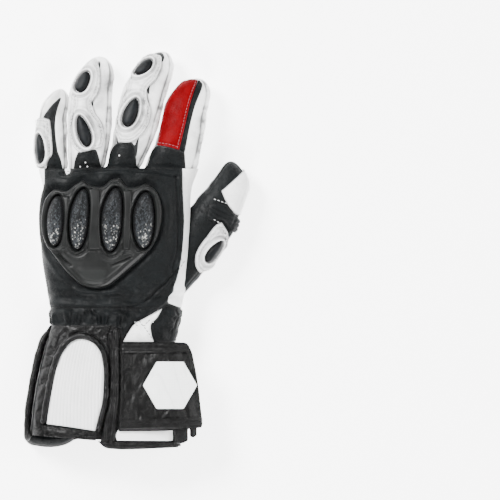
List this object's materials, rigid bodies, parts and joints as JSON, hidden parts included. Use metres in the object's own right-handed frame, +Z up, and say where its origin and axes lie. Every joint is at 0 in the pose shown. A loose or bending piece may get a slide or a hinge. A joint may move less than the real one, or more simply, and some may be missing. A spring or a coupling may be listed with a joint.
{
  "type": "motorcycle gauntlet",
  "caption": "Left-hand leather motorcycle gauntlet with finger stalls, moulded knuckle guard, padded armour and a flared cuff closed by a flap.",
  "frame": {"origin": "centre of the outline seen from above, on the surface that the palm side lies on", "axes": "+Y to the fingertips, +X to the thumb side, +Z up out of the back of the hand"},
  "size_m": [0.1666, 0.2936, 0.0484],
  "materials": {
    "white_leather": "smooth, lightly creased",
    "black_leather": "fine grain, soft sheen",
    "red_leather": "smooth, coated",
    "moulded_guard": "satin",
    "woven_insert": "clear coat over a woven layer",
    "dark_pad": "matte",
    "ribbed_cloth": "fine vertical ribs",
    "loop_pile": "loop pile",
    "reflective": "welded film"
  },
  "bodies": {
    "root": {"hand_shell": "white_leather", "cuff_shell": "black_leather", "little_stall": "white_leather", "ring_stall": "white_leather", "middle_stall": "white_leather", "index_stall": "white_leather", "thumb_stall": "black_leather", "palm_panel": "black_leather", "back_panel": "black_leather", "wrist_band": "black_leather", "wrist_gusset": "white_leather", "wrist_tab": "black_leather", "knuckle_guard": "moulded_guard", "little_knuckle_insert": "woven_insert", "ring_knuckle_insert": "woven_insert", "middle_knuckle_insert": "woven_insert", "index_knuckle_insert": "woven_insert", "little_knuckle_tab": "black_leather", "ring_knuckle_tab": "black_leather", "middle_knuckle_tab": "black_leather", "index_knuckle_tab": "black_leather", "little_armour": "white_leather", "ring_armour": "white_leather", "middle_armour": "white_leather", "thumb_armour": "white_leather", "little_pad": "dark_pad", "ring_upper_pad": "dark_pad", "ring_lower_pad": "dark_pad", "middle_upper_pad": "dark_pad", "middle_lower_pad": "dark_pad", "thumb_pad": "dark_pad", "little_back": "black_leather", "index_panel": "red_leather", "index_edge_strip": "black_leather", "thumb_tip_panel": "white_leather", "thumb_strap": "black_leather", "cuff_front": "black_leather", "cuff_rib_panel": "ribbed_cloth", "arch_piping": "black_leather", "cuff_side_roll": "black_leather", "cuff_seam_band": "black_leather", "cuff_hem": "black_leather", "cuff_palm_panel": "black_leather", "mouth_binding": "black_leather", "loop_patch": "loop_pile", "closure_flap": "black_leather", "flap_top_binding": "black_leather", "flap_bottom_binding": "black_leather", "flap_emblem": "reflective", "hook_tab_near": "black_leather", "hook_tab_far": "black_leather"}
  },
  "joints": []
}
